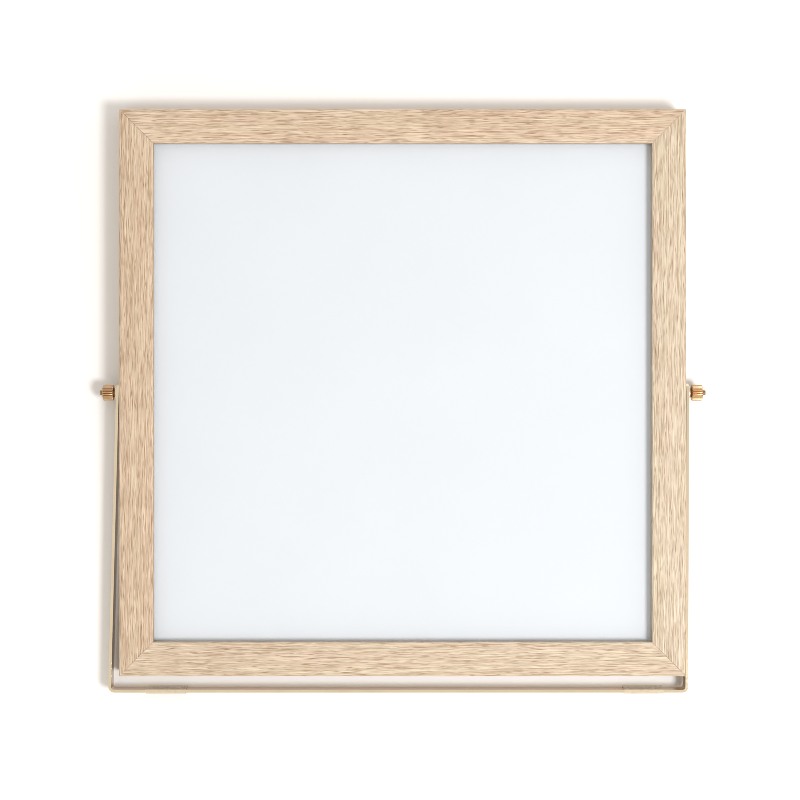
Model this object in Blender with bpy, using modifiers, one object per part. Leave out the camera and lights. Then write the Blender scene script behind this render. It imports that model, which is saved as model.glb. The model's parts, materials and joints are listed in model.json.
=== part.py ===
"""A floating picture frame with a swinging easel stand.

The frame lies on its back. Its back is at Z = 0, the picture faces +Z and the top edge faces +Y.
The origin is on the floor, at the centre of the outline of the whole object.
"""

import math

import bmesh
import bpy
from mathutils import Matrix, Vector

MM = 0.001

# Wooden frame
FRAME_SIDE = 305.0 * MM
FRAME_DEPTH = 20.0 * MM
MEMBER_WIDTH = 18.4 * MM
REBATE_WIDTH = 5.0 * MM
LIP_THICKNESS = 4.5 * MM
FRONT_EASE = 0.8 * MM
BACK_EASE = 0.5 * MM
MITRE_SETBACK = 0.15 * MM

# Panes, card and lining strips, which lie behind the lip with GAP between them
GAP = 0.3 * MM
PANE_THICKNESS = 2.0 * MM
CARD_THICKNESS = 0.8 * MM
PANE_PLAY = 0.4 * MM
CARD_PLAY = 0.8 * MM
STRIP_WIDTH = 4.3 * MM

# Turn buttons and their screws, in pockets in the back of the rails
BUTTON_SPACING = 160.0 * MM
BUTTON_RADIUS = 3.5 * MM
BUTTON_REACH = 10.7 * MM
BUTTON_THICKNESS = 1.2 * MM
POCKET_DEPTH = 2.8 * MM
POCKET_PLAY = 0.8 * MM
SCREW_GAP = 0.2 * MM
SCREW_HEAD_RADIUS = 2.6 * MM
SCREW_HEAD_HEIGHT = 0.9 * MM
SCREW_RADIUS = 1.2 * MM
SCREW_TIP = 9.0 * MM

# V-shaped nails across the mitres
NAIL_WING = 4.5 * MM
NAIL_HALF_ANGLE = math.radians(55)
NAIL_THICKNESS = 0.8 * MM
NAIL_HEIGHT = 9.0 * MM
NAIL_PLAY = 0.15 * MM

# Pivot hardware: places along each axis count outward from the side of the frame
PIVOT_HEIGHT = FRAME_DEPTH / 2
STUD_RADIUS = 1.45 * MM
STUD_TIP = 11.8 * MM
HARDWARE_BORE = 1.6 * MM
BUSH_RADIUS = 2.7 * MM
BUSH_DEPTH = 8.5 * MM
BUSH_HOLE_RADIUS = 2.95 * MM
BUSH_HOLE_DEPTH = 9.0 * MM
SPACER_RADIUS = 7.5 * MM
SPACER = (0.15 * MM, 0.45 * MM)
WASHER_RADIUS = 4.0 * MM
WASHER = (2.45 * MM, 2.95 * MM)
COLLAR_RADIUS = 3.3 * MM
COLLAR = (3.05 * MM, 4.1 * MM)
HEAD_RADIUS = 4.35 * MM
HEAD_END = 9.9 * MM
HEAD_CHAMFER = 0.4 * MM
KNURL_DEPTH = 0.35 * MM
KNURL_TEETH = 20

# Stand: a flat bar bent into a U, whose left leg springs outward a little
BAR_WIDTH = 10.0 * MM
BAR_THICKNESS = 1.5 * MM
LEG_GAP = 0.8 * MM
LEG_LENGTH = 161.75 * MM
LEFT_LEAN = math.radians(1.7)
BEND_RADIUS = 2.4 * MM
PIVOT_HOLE_RADIUS = 1.75 * MM
SLEEVE_LENGTH = 21.6 * MM
SLEEVE_WALL = 0.7 * MM
SLEEVE_PLAY = 0.15 * MM
SLEEVE_ROUND = 0.9 * MM
SLEEVE_CENTRES = {"left": -128.3 * MM, "right": 130.8 * MM}
FLOOR_CLEARANCE = 0.05 * MM

# Worked out from the dimensions above
HALF_SIDE = FRAME_SIDE / 2
LAND_WIDTH = MEMBER_WIDTH - REBATE_WIDTH
LIP_BACK = FRAME_DEPTH - LIP_THICKNESS
SLEEVE_HALF_WIDTH = BAR_WIDTH / 2 + SLEEVE_PLAY + SLEEVE_WALL
SLEEVE_HALF_THICKNESS = BAR_THICKNESS / 2 + SLEEVE_PLAY + SLEEVE_WALL
STAND_REACH = LEG_LENGTH + SLEEVE_HALF_THICKNESS
FOLD_TILT = math.asin((PIVOT_HEIGHT - SLEEVE_HALF_WIDTH - FLOOR_CLEARANCE) / STAND_REACH)
STAND_FOOT = STAND_REACH * math.cos(FOLD_TILT) + SLEEVE_HALF_WIDTH * math.sin(FOLD_TILT)
FRAME_CENTRE_Y = (STAND_FOOT - HALF_SIDE) / 2

# Turns a shape drawn in XY and thick along Z into one drawn in YZ and thick along X
ALONG_X = Matrix(((0, 0, 1), (1, 0, 0), (0, 1, 0))).to_euler()
SIDES = {"left": -1, "right": 1}
WELD = 0.001 * MM


def clear_scene():
    for leftover in list(bpy.data.objects):
        bpy.data.objects.remove(leftover)


def new_collection(name):
    collection = bpy.data.collections.new(name)
    bpy.context.scene.collection.children.link(collection)
    return collection


def new_material(name, colour, roughness, metallic=0.0, alpha=1.0):
    material = bpy.data.materials.new(name)
    material.use_nodes = True
    shader = material.node_tree.nodes["Principled BSDF"]
    shader.inputs["Base Color"].default_value = (*colour, 1.0)
    shader.inputs["Roughness"].default_value = roughness
    shader.inputs["Metallic"].default_value = metallic
    shader.inputs["Alpha"].default_value = alpha
    return material


clear_scene()
PARTS = new_collection("floating_frame")
CUTTERS = new_collection("cutters")

OAK = new_material("oak", (0.72, 0.52, 0.36), 0.55)
PINE = new_material("pine", (0.78, 0.62, 0.42), 0.6)
GLASS = new_material("glass", (0.93, 0.96, 0.97), 0.03, alpha=0.35)
CARD = new_material("card", (0.9, 0.93, 0.95), 0.7)
BRASS = new_material("brass", (0.80, 0.62, 0.38), 0.28, metallic=1.0)
STEEL = new_material("steel", (0.55, 0.55, 0.56), 0.35, metallic=1.0)
FIBRE = new_material("dark_fibre", (0.05, 0.04, 0.035), 0.7)
VINYL = new_material("clear_vinyl", (0.86, 0.83, 0.74), 0.25, alpha=0.6)


# Shapes


def link(obj, collection=PARTS):
    collection.objects.link(obj)
    return obj


def finish_part(obj, material, parent=None, at=(0, 0, 0), turned=(0, 0, 0)):
    """Gives a piece its material, its parent and its place."""
    obj.data.materials.clear()
    obj.data.materials.append(material)
    return place(obj, parent, at, turned)


def place(obj, parent=None, at=(0, 0, 0), turned=(0, 0, 0)):
    obj.parent = parent
    obj.location = at
    obj.rotation_euler = turned
    return obj


def empty(name, parent=None, at=(0, 0, 0), turned=(0, 0, 0)):
    return place(link(bpy.data.objects.new(name, None)), parent, at, turned)


def from_bmesh(name, shape):
    mesh = bpy.data.meshes.new(name)
    shape.to_mesh(mesh)
    shape.free()
    return link(bpy.data.objects.new(name, mesh))


def box(name, low, high):
    """A block between two corners."""
    low, high = Vector(low), Vector(high)
    shape = bmesh.new()
    stretch = Matrix.Diagonal((*(high - low), 1))
    bmesh.ops.create_cube(shape, size=1, matrix=Matrix.Translation((low + high) / 2) @ stretch)
    return from_bmesh(name, shape)


def rod(name, radius, low, high, segments=32):
    """A cylinder along Z between two heights."""
    shape = bmesh.new()
    bmesh.ops.create_cone(
        shape,
        cap_ends=True,
        segments=segments,
        radius1=radius,
        radius2=radius,
        depth=high - low,
        matrix=Matrix.Translation((0, 0, (low + high) / 2)),
    )
    return from_bmesh(name, shape)


def turned_piece(name, profile, steps, closed=True):
    """Turns a profile of (radius, height) points about Z. Its outer side runs from top to bottom."""
    count = len(profile)
    edges = [(i, (i + 1) % count) for i in range(count if closed else count - 1)]
    mesh = bpy.data.meshes.new(name)
    mesh.from_pydata([(radius, 0, height) for radius, height in profile], edges, [])
    piece = link(bpy.data.objects.new(name, mesh))
    screw = piece.modifiers.new("turn", "SCREW")
    screw.steps = steps
    screw.render_steps = steps
    screw.use_merge_vertices = True
    screw.merge_threshold = WELD
    return piece


def ring(name, inner, outer, span, steps=32):
    """A washer or bush along Z, with its span as (low, high)."""
    low, high = span
    return turned_piece(name, [(outer, high), (outer, low), (inner, low), (inner, high)], steps)


def plate(name, outlines, thickness):
    """A flat piece, thick about Z = 0. Its first outline is its edge, and the others are holes."""
    curve = bpy.data.curves.new(name, "CURVE")
    curve.dimensions = "2D"
    curve.fill_mode = "BOTH"
    curve.extrude = thickness / 2
    for outline in outlines:
        spline = curve.splines.new("POLY")
        spline.points.add(len(outline) - 1)
        for point, (x, y) in zip(spline.points, outline):
            point.co = (x, y, 0, 1)
        spline.use_cyclic_u = True
    return link(bpy.data.objects.new(name, curve))


def as_mesh(piece):
    """Replaces a curve or a modified piece by its plain welded mesh."""
    bpy.context.view_layer.update()
    evaluated = piece.evaluated_get(bpy.context.evaluated_depsgraph_get())
    mesh = bpy.data.meshes.new_from_object(evaluated)
    shape = bmesh.new()
    shape.from_mesh(mesh)
    bmesh.ops.remove_doubles(shape, verts=shape.verts, dist=WELD)
    shape.to_mesh(mesh)
    shape.free()
    name = piece.name
    bpy.data.objects.remove(piece)
    return link(bpy.data.objects.new(name, mesh))


def as_cutter(piece):
    PARTS.objects.unlink(piece)
    CUTTERS.objects.link(piece)
    piece.hide_render = True
    piece.display_type = "WIRE"
    return piece


def combine(piece, cutter, operation="DIFFERENCE"):
    boolean = piece.modifiers.new(cutter.name, "BOOLEAN")
    boolean.operation = operation
    boolean.object = cutter


def shade_round(piece, angle=40):
    piece.data.shade_smooth()
    piece.data.set_sharp_from_angle(angle=math.radians(angle))


# Outlines


def arc(centre, radius, start, end, steps):
    """Points on an arc, from one angle in degrees to another."""
    angles = [math.radians(start + (end - start) * i / steps) for i in range(steps + 1)]
    return [(centre[0] + radius * math.cos(a), centre[1] + radius * math.sin(a)) for a in angles]


def circle(radius, steps=24):
    return arc((0, 0), radius, 0, 360, steps)[:-1]


def rounded_rectangle(half_width, half_height, radius, steps=3):
    points = []
    for quarter, (x, y) in enumerate(((1, 1), (-1, 1), (-1, -1), (1, -1))):
        centre = (x * (half_width - radius), y * (half_height - radius))
        points += arc(centre, radius, 90 * quarter, 90 * quarter + 90, steps)
    return points


def slot_outline(radius, reach, steps=10):
    """A strip with round ends: one end turns about the origin and the other reaches up Y."""
    tip = (0, reach - radius)
    return arc((0, 0), radius, 180, 360, steps) + arc(tip, radius, 0, 180, steps)


def nail_outline(wing, thickness):
    """A V of even thickness whose point is at the origin and whose wings open along X."""
    half = thickness / 2
    cosine, sine = math.cos(NAIL_HALF_ANGLE), math.sin(NAIL_HALF_ANGLE)
    outer = (wing * cosine - half * sine, wing * sine + half * cosine)
    inner = (wing * cosine + half * sine, wing * sine - half * cosine)
    upper = [(-half / sine, 0), outer, inner, (half / sine, 0)]
    lower = [(x, -y) for x, y in (inner, outer)]
    return (upper + lower)[::-1]


def bent_strip(corners, bend_radius, thickness, steps=6):
    """The outline of a strip that follows straight runs between corners, with round bends."""
    corners = [Vector(corner) for corner in corners]
    stations = []
    first_run = (corners[1] - corners[0]).normalized()
    stations.append((corners[0], Vector((-first_run.y, first_run.x))))
    for before, corner, after in zip(corners, corners[1:], corners[2:]):
        arriving = (corner - before).normalized()
        leaving = (after - corner).normalized()
        turn = math.atan2(arriving.cross(leaving), arriving.dot(leaving))
        side = Vector((-arriving.y, arriving.x))
        start = corner - arriving * bend_radius * math.tan(abs(turn) / 2)
        centre = start + side * bend_radius * math.copysign(1, turn)
        for i in range(steps + 1):
            spin = Matrix.Rotation(turn * i / steps, 2)
            stations.append((centre + spin @ (start - centre), spin @ side))
    last_run = (corners[-1] - corners[-2]).normalized()
    stations.append((corners[-1], Vector((-last_run.y, last_run.x))))
    right = [tuple(point - normal * thickness / 2) for point, normal in stations]
    left = [tuple(point + normal * thickness / 2) for point, normal in stations]
    return right + left[::-1]


# Wooden frame


def member_section():
    """The rebated section, as (distance from the outer side, height above the back)."""
    ease, back = FRONT_EASE, BACK_EASE
    outline = arc((back, back), back, 270, 180, 2)
    outline += arc((ease, FRAME_DEPTH - ease), ease, 180, 90, 4)
    outline += arc((MEMBER_WIDTH - ease, FRAME_DEPTH - ease), ease, 90, 0, 4)
    outline += [(MEMBER_WIDTH, LIP_BACK), (LAND_WIDTH, LIP_BACK), (LAND_WIDTH, 0)]
    return outline[::-1]


def frame_member(name, quarter_turns, centre):
    """One member, drawn as the bottom one and turned about the centre of the frame."""
    member = as_mesh(plate(name, [member_section()], FRAME_SIDE))
    for vertex in member.data.vertices:
        inward, height, run = vertex.co
        mitred = math.copysign(HALF_SIDE - inward - MITRE_SETBACK, run)
        vertex.co = (mitred, inward - HALF_SIDE, height)
    shade_round(member, 30)
    return finish_part(member, OAK, centre, turned=(0, 0, quarter_turns * math.pi / 2))


def build_frame(centre):
    names = ("rail_bottom", "stile_right", "rail_top", "stile_left")
    return {name: frame_member(name, turns, centre) for turns, name in enumerate(names)}


def build_nails(centre, members):
    """A V-shaped nail in each corner, driven in from the back across the mitre."""
    inset = HALF_SIDE - LAND_WIDTH / 2
    slot_height = NAIL_HEIGHT + 2 * GAP
    corners = {
        "bottom_left": (-1, -1, ("rail_bottom", "stile_left")),
        "bottom_right": (1, -1, ("rail_bottom", "stile_right")),
        "top_right": (1, 1, ("rail_top", "stile_right")),
        "top_left": (-1, 1, ("rail_top", "stile_left")),
    }
    for corner, (x, y, joined) in corners.items():
        turned = (0, 0, math.atan2(-y, -x))
        at = (x * inset, y * inset, GAP + NAIL_HEIGHT / 2)
        nail = plate(f"v_nail_{corner}", [nail_outline(NAIL_WING, NAIL_THICKNESS)], NAIL_HEIGHT)
        finish_part(nail, STEEL, centre, at, turned)
        wide = nail_outline(NAIL_WING + NAIL_PLAY, NAIL_THICKNESS + 2 * NAIL_PLAY)
        slot = as_cutter(as_mesh(plate(f"nail_slot_{corner}", [wide], 2 * slot_height)))
        place(slot, centre, (x * inset, y * inset, 0), turned)
        for name in joined:
            combine(members[name], slot)


# Glazing


def square_sheet(name, side, low, high, material, centre):
    sheet = box(name, (-side / 2, -side / 2, low), (side / 2, side / 2, high))
    return finish_part(sheet, material, centre)


def build_glazing(centre):
    """From the lip backward: front pane, card, rear pane and the strips that line the rebate."""
    rebate_side = FRAME_SIDE - 2 * LAND_WIDTH
    pane_side = rebate_side - 2 * PANE_PLAY
    layers = (
        ("front_glass", pane_side, PANE_THICKNESS, GLASS),
        ("insert_card", rebate_side - 2 * CARD_PLAY, CARD_THICKNESS, CARD),
        ("rear_glass", pane_side, PANE_THICKNESS, GLASS),
    )
    level = LIP_BACK - GAP
    for name, side, thickness, material in layers:
        square_sheet(name, side, level - thickness, level, material, centre)
        level -= thickness + GAP
    outer = rebate_side / 2 - GAP
    inner = outer - STRIP_WIDTH
    for name, side in (("liner_top", 1), ("liner_bottom", -1)):
        low, high = sorted((side * outer, side * inner))
        strip = box(name, (-outer, low, POCKET_DEPTH), (outer, high, level))
        finish_part(strip, PINE, centre)
    for name, side in (("liner_right", 1), ("liner_left", -1)):
        low, high = sorted((side * outer, side * inner))
        strip = box(name, (low, GAP - inner, POCKET_DEPTH), (high, inner - GAP, level))
        finish_part(strip, PINE, centre)


# Turn buttons


def screw_profile():
    """A domed head whose flat side meets the button, with a shank that runs up into the rail."""
    head_top = POCKET_DEPTH - GAP - BUTTON_THICKNESS - SCREW_GAP
    tip = [(0, SCREW_TIP), (SCREW_RADIUS, SCREW_TIP - SCREW_RADIUS), (SCREW_RADIUS, head_top)]
    dome = [
        (SCREW_HEAD_RADIUS * x, head_top - SCREW_HEAD_HEIGHT * y)
        for x, y in arc((0, 0), 1, 0, 90, 5)[:-1]
    ]
    return tip + dome + [(0, head_top - SCREW_HEAD_HEIGHT)]


def build_buttons(centre, members):
    """Two turn buttons on each rail, in pockets that leave them room to turn by 90 degrees."""
    hinge_inset = HALF_SIDE - LAND_WIDTH / 2
    room = BUTTON_RADIUS + POCKET_PLAY / 2
    for rail, side in (("rail_bottom", -1), ("rail_top", 1)):
        turned = (0, 0, 0 if side < 0 else math.pi)
        for end, x in SIDES.items():
            place_name = f"{rail.split('_')[1]}_{end}"
            pivot = empty(
                f"button_pivot_{place_name}",
                centre,
                (x * BUTTON_SPACING / 2, side * hinge_inset, 0),
                turned,
            )
            button = plate(
                f"turn_button_{place_name}",
                [slot_outline(BUTTON_RADIUS, BUTTON_REACH), circle(HARDWARE_BORE)],
                BUTTON_THICKNESS,
            )
            middle = POCKET_DEPTH - GAP - BUTTON_THICKNESS / 2
            finish_part(button, BRASS, pivot, (0, 0, middle))
            screw = turned_piece(f"button_screw_{place_name}", screw_profile(), 20, closed=False)
            finish_part(screw, BRASS, pivot)
            pocket = box(
                f"pocket_{place_name}",
                (-room, -room, -POCKET_DEPTH),
                (BUTTON_REACH + POCKET_PLAY, LAND_WIDTH, POCKET_DEPTH),
            )
            hole = rod(f"screw_hole_{place_name}", SCREW_RADIUS + GAP / 2, 0, SCREW_TIP + GAP, 20)
            for cutter in (pocket, hole):
                combine(members[rail], as_cutter(place(cutter, pivot)))


# Pivots of the stand


def knurled_nut(name):
    """A thumb nut with a plain collar towards the stand and straight teeth along its head."""
    rim = HEAD_RADIUS - HEAD_CHAMFER
    collar_low, collar_high = COLLAR
    profile = [
        (HARDWARE_BORE, HEAD_END),
        (rim, HEAD_END),
        (HEAD_RADIUS, HEAD_END - HEAD_CHAMFER),
        (HEAD_RADIUS, collar_high + HEAD_CHAMFER),
        (rim, collar_high),
        (COLLAR_RADIUS, collar_high),
        (COLLAR_RADIUS, collar_low),
        (HARDWARE_BORE, collar_low),
    ]
    nut = as_mesh(turned_piece(name, profile, 2 * KNURL_TEETH))
    groove = HEAD_RADIUS - KNURL_DEPTH
    for vertex in nut.data.vertices:
        radius = math.hypot(vertex.co.x, vertex.co.y)
        step = round(math.atan2(vertex.co.y, vertex.co.x) / (math.pi / KNURL_TEETH))
        if step % 2 and radius > groove:
            vertex.co.x *= groove / radius
            vertex.co.y *= groove / radius
    return nut


def build_pivot(side, centre, members):
    """The bush, stud, spacer, washer and nut on one side, on an axis that points outward."""
    direction = SIDES[side]
    axis = empty(
        f"pivot_{side}",
        centre,
        (direction * HALF_SIDE, 0, PIVOT_HEIGHT),
        (0, direction * math.pi / 2, 0),
    )
    chamfer = STUD_RADIUS / 3
    stud = turned_piece(
        f"stud_{side}",
        [
            (0, STUD_TIP),
            (STUD_RADIUS - chamfer, STUD_TIP),
            (STUD_RADIUS, STUD_TIP - chamfer),
            (STUD_RADIUS, -BUSH_DEPTH),
            (0, -BUSH_DEPTH),
        ],
        24,
        closed=False,
    )
    bush_span = (-BUSH_DEPTH, -GAP)
    pieces = (
        (stud, BRASS),
        (ring(f"insert_bush_{side}", HARDWARE_BORE, BUSH_RADIUS, bush_span, 24), BRASS),
        (ring(f"spacer_{side}", PIVOT_HOLE_RADIUS, SPACER_RADIUS, SPACER), FIBRE),
        (ring(f"washer_{side}", HARDWARE_BORE, WASHER_RADIUS, WASHER), BRASS),
        (knurled_nut(f"thumb_nut_{side}"), BRASS),
    )
    for piece, material in pieces:
        finish_part(piece, material, axis)
    hole = rod(f"bush_hole_{side}", BUSH_HOLE_RADIUS, -BUSH_HOLE_DEPTH, GAP * 10)
    combine(members[f"stile_{side}"], as_cutter(place(hole, axis)))


# Stand


def build_stand(centre):
    """The bent bar and its two sleeves, folded in until the sleeves nearly touch the floor."""
    pivot = empty("stand_pivot", centre, (0, 0, PIVOT_HEIGHT), (FOLD_TILT, 0, 0))
    leg_x = HALF_SIDE + LEG_GAP + BAR_THICKNESS / 2
    above = BAR_WIDTH
    slant = math.tan(LEFT_LEAN)
    corners = [
        (-leg_x + slant * above, above),
        (-leg_x - slant * LEG_LENGTH, -LEG_LENGTH),
        (leg_x, -LEG_LENGTH),
        (leg_x, above),
    ]
    outline = bent_strip(corners, BEND_RADIUS, BAR_THICKNESS)
    bar = as_mesh(plate("stand_bar", [outline], 1.2 * BAR_WIDTH))
    finish_part(bar, BRASS, pivot)

    radius = BAR_WIDTH / 2
    far = -LEG_LENGTH - BAR_WIDTH
    side_outline = arc((0, 0), radius, -90, 90, 16) + [(far, radius), (far, -radius)]
    span = 2 * (HALF_SIDE + BAR_WIDTH)
    edge = as_cutter(as_mesh(plate("bar_edges", [side_outline], span)))
    combine(bar, place(edge, pivot, turned=ALONG_X), "INTERSECT")
    hole = as_cutter(rod("pivot_holes", PIVOT_HOLE_RADIUS, -span / 2, span / 2))
    combine(bar, place(hole, pivot, turned=ALONG_X))

    outer = rounded_rectangle(SLEEVE_HALF_THICKNESS, SLEEVE_HALF_WIDTH, SLEEVE_ROUND)
    inner = rounded_rectangle(
        SLEEVE_HALF_THICKNESS - SLEEVE_WALL,
        SLEEVE_HALF_WIDTH - SLEEVE_WALL,
        SLEEVE_PLAY,
    )
    for side, x in SLEEVE_CENTRES.items():
        sleeve = plate(f"sleeve_{side}", [outer, inner], SLEEVE_LENGTH)
        finish_part(sleeve, VINYL, pivot, (x, -LEG_LENGTH, 0), ALONG_X)


def main():
    centre = empty("frame_centre", at=(0, FRAME_CENTRE_Y, 0))
    members = build_frame(centre)
    build_nails(centre, members)
    build_glazing(centre)
    build_buttons(centre, members)
    for side in SIDES:
        build_pivot(side, centre, members)
    build_stand(centre)
    bpy.context.view_layer.update()


main()
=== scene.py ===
"""Looks of the floating frame: oak, glass, card, brass and clear sleeves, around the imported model.

The frame lies on its back on a white floor and is seen from straight above, in soft studio light.
"""

import json
import math

import bmesh
import bpy
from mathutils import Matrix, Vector


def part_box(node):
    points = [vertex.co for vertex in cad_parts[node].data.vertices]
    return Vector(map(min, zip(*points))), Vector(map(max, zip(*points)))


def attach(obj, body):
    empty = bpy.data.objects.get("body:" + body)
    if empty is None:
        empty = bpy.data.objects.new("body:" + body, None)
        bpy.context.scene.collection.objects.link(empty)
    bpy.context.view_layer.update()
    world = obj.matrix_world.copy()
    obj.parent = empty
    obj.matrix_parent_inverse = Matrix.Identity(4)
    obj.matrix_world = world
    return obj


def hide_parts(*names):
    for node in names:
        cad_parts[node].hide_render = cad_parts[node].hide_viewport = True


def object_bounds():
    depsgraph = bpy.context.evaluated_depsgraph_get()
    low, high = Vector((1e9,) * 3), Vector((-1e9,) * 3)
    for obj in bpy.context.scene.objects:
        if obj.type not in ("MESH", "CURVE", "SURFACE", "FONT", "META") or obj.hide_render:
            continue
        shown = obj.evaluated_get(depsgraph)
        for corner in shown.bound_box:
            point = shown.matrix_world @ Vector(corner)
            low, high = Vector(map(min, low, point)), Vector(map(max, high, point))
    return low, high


MM = 0.001

# Camera: its view is VIEW_SIDE across at the front face, and its axis misses the frame's centre
VIEW_SIDE = 430.0 * MM
LENS = 90.0
SENSOR = 36.0
CAMERA_OFFSET = Vector((-1.42 * MM, -3.95 * MM, 0))
PIXEL_FILTER = 0.85

# Light: a softbox at the lower right and an even, slightly warm surround
KEY_PLACE = Vector((0.71, -0.38, 1.42))
KEY_SIDE = 0.4
KEY_POWER = 17.6
SURROUND = 0.83
SURROUND_TONE = (1.0, 0.945, 0.88)
FLOOR_RADIUS = 8.0
FLOOR_TONE = (0.87, 0.87, 0.87)

# Oak: features per metre along the grain and across it, in a frame whose X is the grain
GRAIN_DRIFT = (35, 110, 110)
GRAIN_WANDER = 0.6 * MM
GRAIN_BANDS = (9, 260, 260)
GRAIN_GROWTH = (13, 1600, 1600)
GRAIN_FIBRES = (75, 3300, 3300)
GRAIN_PORES = (120, 3000, 3000)
GRAIN_LINES = (40, 2000, 2000)
GRAIN_RELIEF = 0.12 * MM

# Oak: the values of those noises between which each feature comes in, and how strongly
GROWTH_RANGE = (0.30, 0.66)
BAND_RANGE = (0.42, 0.64)
BAND_SHARE = 0.5
STREAK_RANGE = (0.22, 0.52)
GLEAM_RANGE = (0.50, 0.78)
LINE_RANGE = (0.01, 0.06)
LINE_BREAKS = (0.40, 0.56)
CROWD_RANGE = (0.40, 0.62)
CROWD_SHIFTS = (0.045, -0.03)
PORE_RANGE = (0.33, 0.43)
PORE_SHARE = 0.62
PORE_DEPTH = 0.8
SHEEN_RANGE = (0.3, 0.7)
SHEEN_ROUGHNESS = (0.58, 0.44)

OAK_EARLY = (0.70, 0.60, 0.46, 1)
OAK_LATE = (0.58, 0.465, 0.325, 1)
OAK_PINK = (0.63, 0.485, 0.37, 1)
OAK_PORE = (0.24, 0.145, 0.08, 1)

# These multiply the oak's colour
OAK_STREAK = (0.61, 0.54, 0.47, 1)
OAK_GLEAM = (1.30, 1.33, 1.36, 1)
OAK_LINE = (0.50, 0.37, 0.26, 1)
OAK_PLAIN = (1, 1, 1, 1)

# Other materials: tones, and features per metre along the frame's own axes
PINE_RINGS = (40, 40, 500)
PINE_FIBRES = (700, 700, 2600)
PINE_EARLY = (0.72, 0.53, 0.32, 1)
PINE_LATE = (0.52, 0.33, 0.17, 1)
PINE_FIBRE = (0.36, 0.22, 0.12, 1)
GLASS_TONE = (0.985, 0.995, 0.99)
GLASS_CLEAR = (0.98, 0.984, 0.982, 1)
GLASS_SMEARS = (14, 14, 14)
CARD_TONE = (0.685, 0.72, 0.785)
CARD_CLOUD_SHADE = 0.985
CARD_CLOUDS = (18, 18, 18)
CARD_TOOTH = (2200, 2200, 2200)
BAR_TONE = (0.89, 0.76, 0.56)
BAR_TARNISH_SHADE = 0.86
BAR_BRUSHING = (900, 900, 9000)
BAR_TARNISH = (55, 55, 120)
# Painted shade on the stand bar's inner faces, for the dark reflection of the shaded gap and floor they
# face
FOOT_PAINTED_SHADE = (0.56, 0.36, 0.18, 1)
LEG_PAINTED_SHADE = (0.23, 0.13, 0.06, 1)
NUT_TONE = (0.71, 0.50, 0.30)
STUD_TONE = (0.64, 0.51, 0.35)
WASHER_TONE = (0.95, 0.88, 0.76)
TURNED_TARNISH_SHADE = (0.62, 0.52, 0.42)
TURNED_TARNISH = (420, 420, 420)
LATHE_RINGS = (9000, 120, 120)
# Dark patina, with painted shade, in the nut's neck and between its teeth
PATINA_AND_PAINTED_SHADE = (0.22, 0.10, 0.04, 1)
STEEL_TONE = (0.60, 0.60, 0.58)
STEEL_BRIGHT = (0.62, 0.62, 0.60, 1)
STEEL_GRIMY = (0.42, 0.42, 0.41, 1)
STEEL_GRIME = (500, 500, 500)
FIBRE_TONE = (0.045, 0.036, 0.030)
FIBRE_DARK = (0.038, 0.030, 0.025, 1)
FIBRE_PALE = (0.075, 0.060, 0.048, 1)
FIBRE_MOTTLE = (1500, 1500, 1500)
VINYL_TONE = (0.70, 0.62, 0.49)
VINYL_CLEAR = (0.96, 0.94, 0.90, 1)
VINYL_HAZE = (260, 260, 260)
PAPER_TOOTH = (900, 900, 900)

# How far the edges of each kind of piece are rounded
EDGE_RADIUS = {
    "member": 0.25 * MM,
    "pane": 0.2 * MM,
    "card": 0.1 * MM,
    "liner": 0.3 * MM,
    "nail": 0.1 * MM,
    "button": 0.2 * MM,
    "washer": 0.12 * MM,
    "spacer": 0.08 * MM,
    "bush": 0.1 * MM,
    "bar": 0.18 * MM,
    "sleeve": 0.15 * MM,
}

# Hardware
THREAD_PITCH = 0.5 * MM
THREAD_DEPTH = 0.28 * MM
THREAD_SIDES = 36
THREAD_ROWS = 8
THREAD_LEAD = 0.1 * MM
TEETH = 26
TOOTH_DEPTH = 0.5 * MM
TOOTH_STEPS = 8
TOOTH_SHARPNESS = 1.5
NUT_BORE = 1.6 * MM
NUT_BORE_BEVEL = 0.25 * MM
NUT_COLLAR = 3.3 * MM
NUT_COLLAR_EASE = 0.12 * MM
NUT_FLANGE = 0.25 * MM
NUT_FLANGE_BEVEL = 0.08 * MM
NUT_GROOVE = 0.8 * MM
NUT_NECK = 2.4 * MM
NUT_DISH = 2.4 * MM
NUT_DISH_DEPTH = 0.15 * MM
NUT_DISH_SLOPE = 0.1 * MM
NUT_COUNTERSINK = 0.3 * MM
# The rims of the nut's head: how far in from its face and its radius, in mm, and if ribs cut it
NUT_INNER_RIM = ((0.0, 0.55, False), (0.05, 0.42, False), (0.3, 0.1, True), (0.45, 0.0, True))
NUT_OUTER_RIM = ((0.5, 0.0, True), (0.35, 0.06, True), (0.1, 0.4, False), (0.0, 0.6, False))
PATINA_AND_SHADE_SHARE = 0.6
COLLAR_MARGIN = 0.05 * MM
NECK_MARGIN = 0.2 * MM
SCREW_HEAD = 0.9 * MM
SCREW_SHANK = 1.2 * MM
SCREW_DOME = 0.45 * MM
SCREW_EASE = 0.1 * MM
SCREW_POINT = 1.5 * MM
SCREW_SIDES = 48
ANGLES_OF_DOME = [math.radians(15 * step) for step in range(7)]
RECESS_WIDTH = 0.55 * MM
RECESS_LENGTH = 2.6 * MM
RECESS_DEPTH = 0.5 * MM

# The stand's legs start this far above its lowest point, and its bottom run ends there
BEND_HEIGHT = 2.5 * MM

SIDES = {"left": -1, "right": 1}
QUARTER = math.pi / 2
WELD = 0.002 * MM
MITRE_SEAM = 0.06 * MM
FLOOR_GAP = 0.02 * MM
FLOOR_SEGMENTS = 96
FLAT_ANGLE = math.radians(0.5)
SHARP_ANGLE = math.radians(50)

# Shading runs over edges below these angles in degrees, so that flat faces stay flat beside
# their rounded edges
SMOOTH_TURNED = 35
SMOOTH_ROUNDED = 12

# The Mix node's inputs and output for colours
MIX_FIRST = 6
MIX_SECOND = 7
MIX_RESULT = 2

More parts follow.
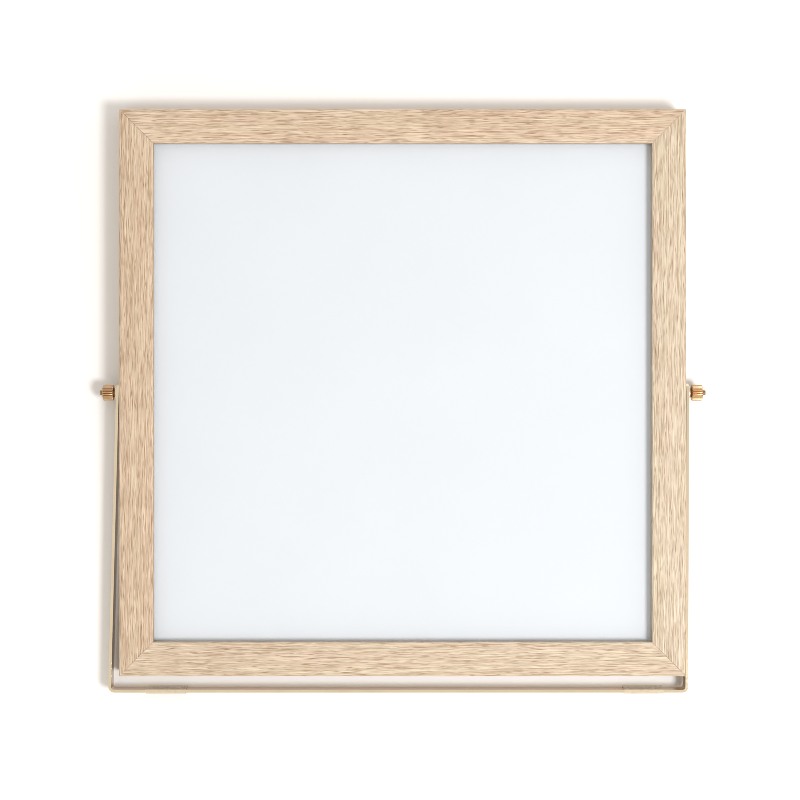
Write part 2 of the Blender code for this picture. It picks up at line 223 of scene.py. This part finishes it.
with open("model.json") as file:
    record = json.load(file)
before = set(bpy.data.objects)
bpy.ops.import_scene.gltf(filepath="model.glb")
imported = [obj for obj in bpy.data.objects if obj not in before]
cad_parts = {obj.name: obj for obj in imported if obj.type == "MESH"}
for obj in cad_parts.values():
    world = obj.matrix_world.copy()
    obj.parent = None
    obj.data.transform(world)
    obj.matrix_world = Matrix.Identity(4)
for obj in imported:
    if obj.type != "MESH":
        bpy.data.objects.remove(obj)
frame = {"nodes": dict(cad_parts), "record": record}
CAD_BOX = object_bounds()
NODES = frame["nodes"]
BODIES = frame["record"]["behaviour"]["bodies"]
BODY_OF = {node: body for body, nodes in BODIES.items() for node in nodes}


# Meshes


def show(name, shape, smooth_angle=SMOOTH_TURNED):
    """Turns a bmesh into an object whose edges stay sharp above an angle in degrees."""
    mesh = bpy.data.meshes.new(name)
    shape.to_mesh(mesh)
    shape.free()
    mesh.shade_smooth()
    mesh.set_sharp_from_angle(angle=math.radians(smooth_angle))
    piece = bpy.data.objects.new(name, mesh)
    bpy.context.scene.collection.objects.link(piece)
    return piece


def stand_for(piece, node, material):
    """The piece takes a CAD node's place and body, and gets its material."""
    piece.data.materials.append(material)
    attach(piece, BODY_OF[node])
    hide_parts(node)


def solid_of(node):
    """A CAD node's solid with its faces joined and its flat areas in one face each."""
    shape = bmesh.new()
    shape.from_mesh(NODES[node].data)
    bmesh.ops.remove_doubles(shape, verts=shape.verts, dist=WELD)
    bmesh.ops.dissolve_limit(shape, angle_limit=FLAT_ANGLE, verts=shape.verts, edges=shape.edges)
    return shape


def rounded(node, radius, material, steps=2, prepare=None, kept=None):
    """A CAD node's solid with its sharp edges rounded, apart from those that a rule keeps."""
    shape = solid_of(node)
    if prepare:
        prepare(shape)
    edges = [e for e in shape.edges if e.is_manifold and e.calc_face_angle() > SHARP_ANGLE]
    if kept:
        edges = [e for e in edges if not kept(e)]
    bmesh.ops.bevel(
        shape,
        geom=edges,
        offset=radius,
        offset_type="OFFSET",
        segments=steps,
        profile=0.5,
        affect="EDGES",
        clamp_overlap=True,
    )
    stand_for(show(f"{node}_finish", shape, SMOOTH_ROUNDED), node, material)


def turned(name, rows, sides, origin, axis, bored=False):
    """A turned piece. Each row is a distance along the axis and a radius, or a rule for it by angle."""
    shape = bmesh.new()
    turn = axis.to_track_quat("Z", "Y")
    rings = []
    for along, radius in rows:
        ring = []
        for step in range(sides):
            angle = math.tau * step / sides
            reach = radius(angle) if callable(radius) else radius
            spot = Vector((reach * math.cos(angle), reach * math.sin(angle), along))
            ring.append(shape.verts.new(origin + turn @ spot))
        rings.append(ring)
    following = rings[1:] + rings[:1] if bored else rings[1:]
    for near, far in zip(rings, following):
        for step in range(sides):
            after = (step + 1) % sides
            shape.faces.new((near[step], near[after], far[after], far[step]))
    if not bored:
        shape.faces.new(rings[0][::-1])
        shape.faces.new(rings[-1])
    return show(name, shape)


def outward(side):
    """The direction from the frame along a pivot's axis."""
    return Vector((SIDES[side], 0, 0))


def pivot(side):
    """The point where a pivot's axis leaves the frame's side."""
    low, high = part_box(f"thumb_nut_{side}")
    middle = (low + high) / 2
    return Vector((SIDES[side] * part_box("stile_right")[1].x, middle.y, middle.z))


# Materials


class Finish:
    """A Principled material, with short calls that add its texture nodes."""

    def __init__(self, name, color, roughness, **sockets):
        self.material = bpy.data.materials.new(name)
        self.material.use_nodes = True
        self.tree = self.material.node_tree
        self.shader = self.tree.nodes["Principled BSDF"]
        self.set("Base Color", (*color, 1.0))
        self.set("Roughness", roughness)
        for socket, value in sockets.items():
            self.set(socket.replace("_", " "), value)

    def set(self, socket, value):
        """Gives one of the shader's sockets a constant, or links it."""
        self.feed(self.shader.inputs[socket], value)

    def feed(self, socket, value):
        """Gives a socket a constant, or links it to an output."""
        if isinstance(value, bpy.types.NodeSocket):
            self.tree.links.new(value, socket)
        else:
            socket.default_value = value

    def node(self, kind, inputs, **settings):
        """Adds a node, with its settings and what goes into it."""
        made = self.tree.nodes.new(f"ShaderNode{kind}")
        for key, value in settings.items():
            setattr(made, key, value)
        for key, value in inputs.items():
            self.feed(made.inputs[key], value)
        return made

    def place(self):
        """The point on the surface, in metres in the frame's own axes."""
        return self.node("TexCoord", {}).outputs["Object"]

    def moved(self, vector, scale=(1, 1, 1), turn=0.0, shift=(0, 0, 0)):
        """A vector that is scaled, turned about Z and shifted."""
        settings = {"Vector": vector, "Scale": scale, "Rotation": (0, 0, turn), "Location": shift}
        return self.node("Mapping", settings).outputs["Vector"]

    def noise(self, vector, detail=2.0, roughness=0.5, output="Fac"):
        """Noise with features about one unit of the vector apart."""
        settings = {"Vector": vector, "Scale": 1.0, "Detail": detail, "Roughness": roughness}
        return self.node("TexNoise", settings).outputs[output]

    def span(self, value, low, high, to_low=0.0, to_high=1.0):
        """A value carried from one range to another, held at the ends."""
        ends = {"From Min": low, "From Max": high, "To Min": to_low, "To Max": to_high}
        return self.node("MapRange", {"Value": value, **ends}).outputs["Result"]

    def math(self, operation, first, second=0.0):
        """One arithmetic step on one or two numbers."""
        return self.node("Math", {0: first, 1: second}, operation=operation).outputs[0]

    def vector(self, operation, first, second):
        """One arithmetic step on two vectors."""
        return self.node("VectorMath", {0: first, 1: second}, operation=operation).outputs[0]

    def blend(self, share, first, second, mode="MIX"):
        """Two colours mixed by a share."""
        inputs = {0: share, MIX_FIRST: first, MIX_SECOND: second}
        return self.node("Mix", inputs, data_type="RGBA", blend_type=mode).outputs[MIX_RESULT]

    def tinted(self, tone, tint, share=1.0):
        """A colour multiplied by another, in full or by a share."""
        return self.blend(share, tone, tint, "MULTIPLY")

    def dot(self, first, second):
        """The dot product of two vectors."""
        inputs = {0: first, 1: second}
        return self.node("VectorMath", inputs, operation="DOT_PRODUCT").outputs["Value"]

    def carried(self, vector, kind, source, target):
        """A vector or a normal carried from one space to another."""
        settings = {"vector_type": kind, "convert_from": source, "convert_to": target}
        return self.node("VectorTransform", {0: vector}, **settings).outputs[0]

    def bump(self, height, distance, strength=1.0):
        """Lets a height from 0 to 1 stand out from the surface by a distance."""
        settings = {"Height": height, "Distance": distance, "Strength": strength}
        self.set("Normal", self.node("Bump", settings).outputs["Normal"])


def oak(name, turn, shift, tint):
    """Pale open-pored oak, whose grain runs along X, or along Y with a quarter turn."""
    finish = Finish(name, tint, 0.5, Specular_IOR_Level=0.4)
    point = finish.moved(finish.place(), turn=turn, shift=shift)
    drift = finish.noise(finish.moved(point, GRAIN_DRIFT), 1.0, 0.4, "Color")
    drift = finish.vector("SUBTRACT", drift, (0.5, 0.5, 0.5))
    drift = finish.vector("MULTIPLY", drift, (0.0, GRAIN_WANDER, GRAIN_WANDER))
    grain = finish.vector("ADD", point, drift)
    bands = finish.noise(finish.moved(grain, GRAIN_BANDS), 2.0, 0.5)
    growth = finish.noise(finish.moved(grain, GRAIN_GROWTH), 2.0, 0.55)
    fibres = finish.noise(finish.moved(grain, GRAIN_FIBRES), 3.0, 0.65)
    flecks = finish.noise(finish.moved(grain, GRAIN_PORES), 1.0, 0.4)
    crowd = finish.span(growth, *CROWD_RANGE, *CROWD_SHIFTS)
    pores = finish.span(finish.math("ADD", flecks, crowd), *PORE_RANGE, 1.0, 0.0)

    wood = finish.blend(finish.span(growth, *GROWTH_RANGE), OAK_EARLY, OAK_LATE)
    wood = finish.blend(finish.span(bands, *BAND_RANGE, 0.0, BAND_SHARE), wood, OAK_PINK)
    streak = finish.blend(finish.span(fibres, *STREAK_RANGE), OAK_STREAK, OAK_PLAIN)
    gleam = finish.blend(finish.span(fibres, *GLEAM_RANGE), OAK_PLAIN, OAK_GLEAM)
    wood = finish.tinted(finish.tinted(wood, streak), gleam)
    level = finish.noise(finish.moved(grain, GRAIN_LINES), 1.0, 0.45)
    ridge = finish.math("ABSOLUTE", finish.math("SUBTRACT", level, 0.5))
    thin = finish.span(ridge, *LINE_RANGE, 1.0, 0.0)
    line = finish.math("MULTIPLY", thin, finish.span(flecks, *LINE_BREAKS))
    wood = finish.tinted(wood, OAK_LINE, line)
    wood = finish.blend(finish.math("MULTIPLY", pores, PORE_SHARE), wood, OAK_PORE)
    finish.set("Base Color", finish.tinted(wood, (*tint, 1)))
    finish.set("Roughness", finish.span(fibres, *SHEEN_RANGE, *SHEEN_ROUGHNESS))
    relief = finish.math("SUBTRACT", fibres, finish.math("MULTIPLY", pores, PORE_DEPTH))
    finish.bump(relief, GRAIN_RELIEF, 0.6)
    return finish.material


def pine():
    """Knot-free softwood of the liners behind the rear pane."""
    finish = Finish("pine_wood", PINE_EARLY[:3], 0.6, Specular_IOR_Level=0.35)
    point = finish.place()
    rings = finish.noise(finish.moved(point, PINE_RINGS), 3.0, 0.6)
    fibres = finish.noise(finish.moved(point, PINE_FIBRES), 2.0, 0.6)
    wood = finish.blend(finish.span(rings, 0.35, 0.65), PINE_EARLY, PINE_LATE)
    wood = finish.blend(finish.span(fibres, 0.3, 0.7, 0.0, 0.25), wood, PINE_FIBRE)
    finish.set("Base Color", wood)
    finish.bump(fibres, 0.05 * MM, 0.5)
    return finish.material


def pass_light(finish, tint):
    """Lets the lamps and bounced light straight through a clear finish."""
    clear = finish.node("BsdfTransparent", {"Color": tint}).outputs[0]
    rays = finish.node("LightPath", {}).outputs
    seen = finish.shader.outputs[0]
    for kind in ("Is Diffuse Ray", "Is Shadow Ray"):
        seen = finish.node("MixShader", {0: rays[kind], 1: seen, 2: clear}).outputs[0]
    finish.feed(finish.tree.nodes["Material Output"].inputs["Surface"], seen)


def glass():
    """Clear picture glass, which lets the lamps through to the card."""
    finish = Finish("picture_glass", GLASS_TONE, 0.0, Transmission_Weight=1.0, IOR=1.45)
    smear = finish.noise(finish.moved(finish.place(), GLASS_SMEARS), 4.0, 0.7)
    finish.set("Roughness", finish.span(smear, 0.55, 0.75, 0.0, 0.02))
    pass_light(finish, GLASS_CLEAR)
    return finish.material


def card():
    """Cool white mounting card with a faint tooth."""
    finish = Finish("white_card", CARD_TONE, 0.75, Specular_IOR_Level=0.3)
    point = finish.place()
    tooth = finish.noise(finish.moved(point, CARD_TOOTH), 3.0, 0.6)
    cloud = finish.span(finish.noise(finish.moved(point, CARD_CLOUDS), 2.0, 0.5), 0.35, 0.65)
    shade = tuple(CARD_CLOUD_SHADE * part for part in CARD_TONE)
    finish.set("Base Color", finish.blend(cloud, (*CARD_TONE, 1), (*shade, 1)))
    finish.bump(tooth, 0.03 * MM, 0.4)
    return finish.material


def rolled_brass():
    """Bright flat bar brass, brushed along its length, with a little tarnish and painted shade on its
    inner faces.
    """
    finish = Finish("rolled_brass", BAR_TONE, 0.2, Metallic=1.0, Anisotropic=0.3)
    point = finish.place()
    place = finish.node("SeparateXYZ", {0: point}).outputs
    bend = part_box("stand_bar")[0].y + BEND_HEIGHT
    on_legs = finish.math("GREATER_THAN", place["Y"], bend)
    on_foot = finish.math("SUBTRACT", 1.0, on_legs)
    normal = finish.node("NewGeometry", {}).outputs["Normal"]

    along = finish.node("CombineXYZ", {0: on_foot, 1: on_legs}).outputs[0]
    along = finish.carried(along, "VECTOR", "OBJECT", "WORLD")
    finish.set("Tangent", finish.vector("CROSS_PRODUCT", normal, along))

    tarnish = finish.noise(finish.moved(point, BAR_TARNISH), 4.0, 0.65)
    dull = tuple(BAR_TARNISH_SHADE * part for part in BAR_TONE)
    brass_colour = finish.blend(finish.span(tarnish, 0.45, 0.75, 0.0, 0.6), (*BAR_TONE, 1), (*dull, 1))
    # Painted shade: faces turned toward the frame get a dark colour, for the shaded gap they reflect
    sideways = finish.math("MULTIPLY", finish.math("SIGN", place["X"]), -1.0)
    sideways = finish.math("MULTIPLY", on_legs, sideways)
    inward = finish.node("CombineXYZ", {0: sideways, 1: on_foot}).outputs[0]
    inside = finish.dot(finish.carried(normal, "NORMAL", "WORLD", "OBJECT"), inward)
    painted_shade = finish.blend(on_legs, FOOT_PAINTED_SHADE, LEG_PAINTED_SHADE)
    finish.set("Base Color", finish.blend(finish.span(inside, 0.5, 0.9), brass_colour, painted_shade))

    brush = finish.noise(finish.moved(point, BAR_BRUSHING), 2.0, 0.6)
    gloss = finish.span(brush, 0.3, 0.7, 0.05, 0.09)
    finish.set("Roughness", finish.math("ADD", gloss, finish.span(tarnish, 0.4, 0.8, 0.0, 0.04)))
    finish.bump(brush, 0.01 * MM, 0.5)
    return finish.material


def turned_brass(name, tone, knurled=0.0):
    """Machined brass with fine rings round its axis.

    A knurled piece gives its radius, and is darkened in its neck and between its teeth, as patina and
    painted shade in those hollows.
    """
    finish = Finish(name, tone, 0.25, Metallic=1.0)
    point = finish.place()
    tarnish = finish.noise(finish.moved(point, TURNED_TARNISH), 4.0, 0.6)
    dull = [part * shade for part, shade in zip(tone, TURNED_TARNISH_SHADE)]
    brass_colour = finish.blend(finish.span(tarnish, 0.42, 0.72, 0.0, 0.55), (*tone, 1), (*dull, 1))
    if knurled:
        # Painted shade, with patina, darkens the nut's neck and the grooves between its teeth
        spot = finish.vector("SUBTRACT", point, tuple(pivot("left")))
        spot = finish.vector("MULTIPLY", spot, (0, 1, 1))
        spread = finish.node("VectorMath", {0: spot}, operation="LENGTH").outputs["Value"]
        root, tip = knurled - TOOTH_DEPTH, knurled - 0.2 * TOOTH_DEPTH
        teeth = finish.span(spread, root, tip, PATINA_AND_SHADE_SHARE, 0.0)
        on_head = finish.math("GREATER_THAN", spread, NUT_COLLAR + COLLAR_MARGIN)
        teeth = finish.math("MULTIPLY", teeth, on_head)
        neck = finish.math("LESS_THAN", spread, NUT_NECK + NECK_MARGIN)
        brass_colour = finish.blend(finish.math("MAXIMUM", teeth, neck), brass_colour, PATINA_AND_PAINTED_SHADE)
    finish.set("Base Color", brass_colour)
    rings = finish.noise(finish.moved(point, LATHE_RINGS), 2.0, 0.5)
    gloss = finish.span(rings, 0.3, 0.7, 0.27, 0.36)
    finish.set("Roughness", finish.math("ADD", gloss, finish.span(tarnish, 0.4, 0.8, 0.0, 0.12)))
    finish.bump(rings, 0.006 * MM, 0.4)
    return finish.material


def steel():
    """Zinc-plated steel of the screws and nails."""
    finish = Finish("plated_steel", STEEL_TONE, 0.32, Metallic=1.0)
    grime = finish.noise(finish.moved(finish.place(), STEEL_GRIME), 4.0, 0.6)
    finish.set("Base Color", finish.blend(finish.span(grime, 0.4, 0.7), STEEL_BRIGHT, STEEL_GRIMY))
    finish.set("Roughness", finish.span(grime, 0.35, 0.75, 0.26, 0.46))
    return finish.material


def fibre():
    """Dark vulcanised fibre of the spacers."""
    finish = Finish("dark_fibre", FIBRE_TONE, 0.65, Specular_IOR_Level=0.3)
    mottle = finish.noise(finish.moved(finish.place(), FIBRE_MOTTLE), 3.0, 0.6)
    finish.set("Base Color", finish.blend(finish.span(mottle, 0.35, 0.65), FIBRE_DARK, FIBRE_PALE))
    finish.bump(mottle, 0.02 * MM, 0.4)
    return finish.material


def vinyl():
    """Soft clear vinyl of the sleeves, a little milky."""
    finish = Finish("clear_vinyl", VINYL_TONE, 0.3, IOR=1.5)
    haze = finish.noise(finish.moved(finish.place(), VINYL_HAZE), 3.0, 0.6)
    finish.set("Alpha", finish.span(haze, 0.3, 0.7, 0.30, 0.36))
    finish.set("Roughness", finish.span(haze, 0.35, 0.7, 0.14, 0.26))
    finish.bump(haze, 0.01 * MM, 0.3)
    pass_light(finish, VINYL_CLEAR)
    return finish.material


def white_floor():
    """Matt white paper under the frame."""
    finish = Finish("paper_floor", FLOOR_TONE, 0.8, Specular_IOR_Level=0.2)
    tooth = finish.noise(finish.moved(finish.place(), PAPER_TOOTH), 2.0, 0.6)
    finish.bump(tooth, 0.03 * MM, 0.2)
    return finish.material


OAK = {
    "rail_top": oak("oak_rail_top", 0.0, (0.0, 0.0, 0.0), (1.02, 0.99, 1.0)),
    "rail_bottom": oak("oak_rail_bottom", 0.0, (0.9, 0.4, 0.2), (0.97, 0.98, 1.0)),
    "stile_left": oak("oak_stile_left", QUARTER, (1.7, 0.9, 0.5), (0.98, 0.94, 0.93)),
    "stile_right": oak("oak_stile_right", QUARTER, (2.6, 1.3, 0.8), (0.97, 1.0, 1.03)),
}
PINE = pine()
GLASS = glass()
CARD = card()
ROLLED_BRASS = rolled_brass()
TURNED_BRASS = turned_brass("turned_brass", NUT_TONE)
NUT_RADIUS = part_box("thumb_nut_left")[1].z - pivot("left").z
NUT_BRASS = turned_brass("nut_brass", NUT_TONE, NUT_RADIUS)
WASHER_BRASS = turned_brass("washer_brass", WASHER_TONE)
STUD_BRASS = turned_brass("stud_brass", STUD_TONE)
STEEL = steel()
FIBRE = fibre()
VINYL = vinyl()


# Frame, panes and the pieces that hold them


def member(node, lengthwise, material):
    """A member whose ends meet its neighbours at a hairline, with rounded edges elsewhere."""
    low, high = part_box("rail_bottom")[0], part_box("rail_top")[1]
    middle = (low + high) / 2
    crosswise = 1 - lengthwise

    def room(spot):
        return abs(spot[crosswise] - middle[crosswise]) - abs(spot[lengthwise] - middle[lengthwise])

    def close_mitres(shape):
        setback = min(room(vert.co) for vert in shape.verts)
        for vert in shape.verts:
            if room(vert.co) < setback + WELD:
                vert.co[lengthwise] += math.copysign(setback - MITRE_SEAM, vert.co[lengthwise])

    def on_mitre(edge):
        return all(room(vert.co) < MITRE_SEAM + WELD for vert in edge.verts)

    rounded(node, EDGE_RADIUS["member"], material, prepare=close_mitres, kept=on_mitre)


for node, wood in OAK.items():
    member(node, 0 if node.startswith("rail") else 1, wood)
for pane in ("front_glass", "rear_glass"):
    rounded(pane, EDGE_RADIUS["pane"], GLASS)
rounded("insert_card", EDGE_RADIUS["card"], CARD)
for side in ("top", "bottom", "left", "right"):
    rounded(f"liner_{side}", EDGE_RADIUS["liner"], PINE)
CORNERS = [f"{end}_{side}" for end in ("top", "bottom") for side in SIDES]
for corner in CORNERS:
    rounded(f"v_nail_{corner}", EDGE_RADIUS["nail"], STEEL)
    rounded(f"turn_button_{corner}", EDGE_RADIUS["button"], TURNED_BRASS)


def cross_cutter(centre):
    """The shape of a cross recess, from below the head to its bottom."""
    shape = bmesh.new()
    for wide, long in ((RECESS_WIDTH, RECESS_LENGTH), (RECESS_LENGTH, RECESS_WIDTH)):
        bar = bmesh.ops.create_cube(shape, size=1.0)["verts"]
        bmesh.ops.scale(shape, vec=(wide, long, 2 * RECESS_DEPTH), verts=bar)
    bmesh.ops.translate(shape, vec=centre, verts=shape.verts)
    return show("recess_cutter", shape)


def button_screw(corner):
    """A pan head with a cross recess, over a shank."""
    node = f"button_screw_{corner}"
    low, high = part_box(node)
    middle = (low + high) / 2
    foot = Vector((middle.x, middle.y, low.z))
    reach = (high.x - low.x) / 2
    length = high.z - low.z
    crown = [(SCREW_DOME * (1 - math.cos(t)), reach * math.sin(t)) for t in ANGLES_OF_DOME]
    rows = [(0.0, 0.2 * SCREW_EASE)] + crown[1:]
    rows += [(SCREW_HEAD - SCREW_EASE, reach), (SCREW_HEAD, reach - SCREW_EASE)]
    rows += [(SCREW_HEAD, SCREW_SHANK), (length - SCREW_POINT, SCREW_SHANK), (length, SCREW_EASE)]
    screw = turned(f"{node}_finish", rows, SCREW_SIDES, foot, Vector((0, 0, 1)))
    cutter = cross_cutter(foot)
    cut = screw.modifiers.new("recess", "BOOLEAN")
    cut.object = cutter
    cut.use_self = True
    whole = bpy.data.meshes.new_from_object(screw.evaluated_get(bpy.context.evaluated_depsgraph_get()))
    screw.modifiers.remove(cut)
    screw.data = whole
    bpy.data.objects.remove(cutter)
    stand_for(screw, node, STEEL)


for corner in CORNERS:
    button_screw(corner)


# Pivots and thumb nuts


def reach_of(node, side):
    """How far out from the frame's side a piece starts and ends, and its radius."""
    low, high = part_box(node)
    face = abs(pivot(side).x)
    near, far = sorted((abs(low.x), abs(high.x)))
    return near - face, far - face, (high.y - low.y) / 2


def thumb_nut(side):
    """A knurled head, a neck and a collar, around the hole for the stud."""
    node = f"thumb_nut_{side}"
    start, end, radius = reach_of(node, side)

    def knurled(limit):
        def at(angle):
            groove = (0.5 + 0.5 * math.cos(TEETH * angle)) ** TOOTH_SHARPNESS
            return min(limit, radius - TOOTH_DEPTH * groove)

        return at

    def rim(place, inset, ribbed):
        limit = radius - inset * MM
        return place, knurled(limit) if ribbed else limit

    flange = start + NUT_FLANGE
    head = flange + NUT_GROOVE
    ease, edge = NUT_COLLAR_EASE, NUT_COLLAR
    rows = [(start + NUT_BORE_BEVEL, NUT_BORE), (start, NUT_BORE + NUT_BORE_BEVEL)]
    rows += [(start, edge - ease), (start + ease / 3, edge - ease / 4), (start + ease, edge)]
    rows += [(flange - NUT_FLANGE_BEVEL, edge), (flange, edge - NUT_FLANGE_BEVEL)]
    rows += [(flange, NUT_NECK), (head, NUT_NECK)]
    rows += [rim(head + depth * MM, inset, ribbed) for depth, inset, ribbed in NUT_INNER_RIM]
    rows += [rim(end - depth * MM, inset, ribbed) for depth, inset, ribbed in NUT_OUTER_RIM]
    dish = end - NUT_DISH_DEPTH
    rows += [(end, NUT_DISH), (dish, NUT_DISH - NUT_DISH_SLOPE)]
    rows += [(dish, NUT_BORE + NUT_COUNTERSINK), (dish - NUT_COUNTERSINK, NUT_BORE)]
    nut = turned(f"{node}_finish", rows, TEETH * TOOTH_STEPS, pivot(side), outward(side), bored=True)
    stand_for(nut, node, NUT_BRASS)


def stud(side):
    """A stud with a real thread from end to end."""
    node = f"stud_{side}"
    start, end, radius = reach_of(node, side)

    def threaded(along):
        tip = min(along - start, end - along)

        def at(angle):
            phase = (along / THREAD_PITCH - angle / math.tau) % 1.0
            depth = THREAD_DEPTH * abs(2 * phase - 1)
            return min(radius - depth, radius - THREAD_DEPTH - THREAD_LEAD + tip)

        return at

    count = round((end - start) / THREAD_PITCH * THREAD_ROWS)
    spots = [start + (end - start) * step / count for step in range(count + 1)]
    rows = [(spot, threaded(spot)) for spot in spots]
    piece = turned(f"{node}_finish", rows, THREAD_SIDES, pivot(side), outward(side))
    stand_for(piece, node, STUD_BRASS)


for side in SIDES:
    rounded(f"washer_{side}", EDGE_RADIUS["washer"], WASHER_BRASS)
    rounded(f"spacer_{side}", EDGE_RADIUS["spacer"], FIBRE)
    rounded(f"insert_bush_{side}", EDGE_RADIUS["bush"], TURNED_BRASS)
    thumb_nut(side)
    stud(side)


# Stand


rounded("stand_bar", EDGE_RADIUS["bar"], ROLLED_BRASS, steps=3)
for side in SIDES:
    rounded(f"sleeve_{side}", EDGE_RADIUS["sleeve"], VINYL)


# Floor, light and camera


def floor():
    """A wide white disc just under the frame."""
    shape = bmesh.new()
    bmesh.ops.create_circle(shape, cap_ends=True, radius=FLOOR_RADIUS, segments=FLOOR_SEGMENTS)
    bmesh.ops.translate(shape, vec=(0, 0, CAD_BOX[0][2] - FLOOR_GAP), verts=shape.verts)
    disc = show("floor", shape)
    disc.data.materials.append(white_floor())


def softbox(name, place, side, power):
    """A square soft light that faces the frame."""
    light = bpy.data.lights.new(name, "AREA")
    light.shape = "SQUARE"
    light.size = side
    light.energy = power
    lamp = bpy.data.objects.new(name, light)
    lamp.location = place
    lamp.rotation_euler = place.to_track_quat("Z", "Y").to_euler()
    bpy.context.scene.collection.objects.link(lamp)


def surround():
    """An even, slightly warm white studio."""
    world = bpy.data.worlds.new("studio")
    world.use_nodes = True
    sky = world.node_tree.nodes["Background"]
    sky.inputs["Color"].default_value = (*SURROUND_TONE, 1)
    sky.inputs["Strength"].default_value = SURROUND
    bpy.context.scene.world = world


def camera():
    """Straight down on the frame's front, with the picture's edges VIEW_SIDE apart there."""
    high = Vector(CAD_BOX[1])
    centre_y = (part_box("rail_top")[1].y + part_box("rail_bottom")[0].y) / 2
    data = bpy.data.cameras.new("camera")
    data.lens = LENS
    data.sensor_width = SENSOR
    eye = bpy.data.objects.new("camera", data)
    distance = VIEW_SIDE * LENS / SENSOR
    eye.location = Vector((0, centre_y, high.z + distance)) + CAMERA_OFFSET
    bpy.context.scene.collection.objects.link(eye)
    bpy.context.scene.camera = eye


floor()
softbox("key", KEY_PLACE, KEY_SIDE, KEY_POWER)
surround()
camera()
bpy.context.scene.view_settings.view_transform = "Standard"
bpy.context.scene.cycles.filter_width = PIXEL_FILTER

bpy.context.view_layer.update()
